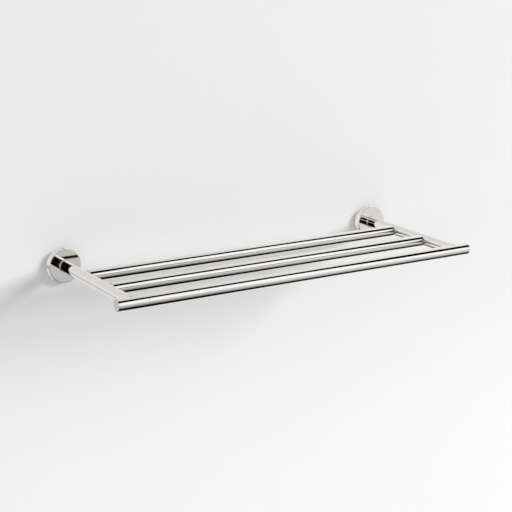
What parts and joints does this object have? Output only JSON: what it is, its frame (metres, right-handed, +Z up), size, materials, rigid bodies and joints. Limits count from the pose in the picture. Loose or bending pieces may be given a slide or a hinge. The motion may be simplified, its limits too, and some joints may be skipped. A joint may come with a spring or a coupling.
{
  "type": "towel rack",
  "caption": "Wall-mounted towel rack with round bars in one level plane between round arms on round wall flanges, in polished nickel.",
  "frame": {"origin": "on the wall plane, midway between the two arms, at the height of the arm axes; centre of the pattern of the wall screws", "axes": "+X along the bars, +Y into the wall, +Z up; the rack stands out along -Y"},
  "size_m": [0.666, 0.2965, 0.056],
  "materials": {
    "polished_nickel": "mirror polished nickel plate on brass",
    "plain_brass": "turned, unplated",
    "steel_screws": "stainless steel, as turned",
    "zinc_plated_steel": "bright zinc plate"
  },
  "bodies": {
    "root": {"rear_bar": "polished_nickel", "middle_bar": "polished_nickel", "front_bar": "polished_nickel", "left_arm": "polished_nickel", "left_tee_sleeve": "polished_nickel", "left_tee_cap": "polished_nickel", "left_flange": "polished_nickel", "left_neck_ring": "polished_nickel", "rear_bar_left_plug": "polished_nickel", "middle_bar_left_plug": "polished_nickel", "left_tee_spigot": "plain_brass", "left_wall_bracket": "zinc_plated_steel", "left_bar_screws": "steel_screws", "left_spigot_screws": "steel_screws", "left_flange_set_screw": "steel_screws", "left_post_screw": "steel_screws", "left_wall_screws": "zinc_plated_steel", "right_arm": "polished_nickel", "right_tee_sleeve": "polished_nickel", "right_tee_cap": "polished_nickel", "right_flange": "polished_nickel", "right_neck_ring": "polished_nickel", "rear_bar_right_plug": "polished_nickel", "middle_bar_right_plug": "polished_nickel", "right_tee_spigot": "plain_brass", "right_wall_bracket": "zinc_plated_steel", "right_bar_screws": "steel_screws", "right_spigot_screws": "steel_screws", "right_flange_set_screw": "steel_screws", "right_post_screw": "steel_screws", "right_wall_screws": "zinc_plated_steel"}
  },
  "joints": []
}
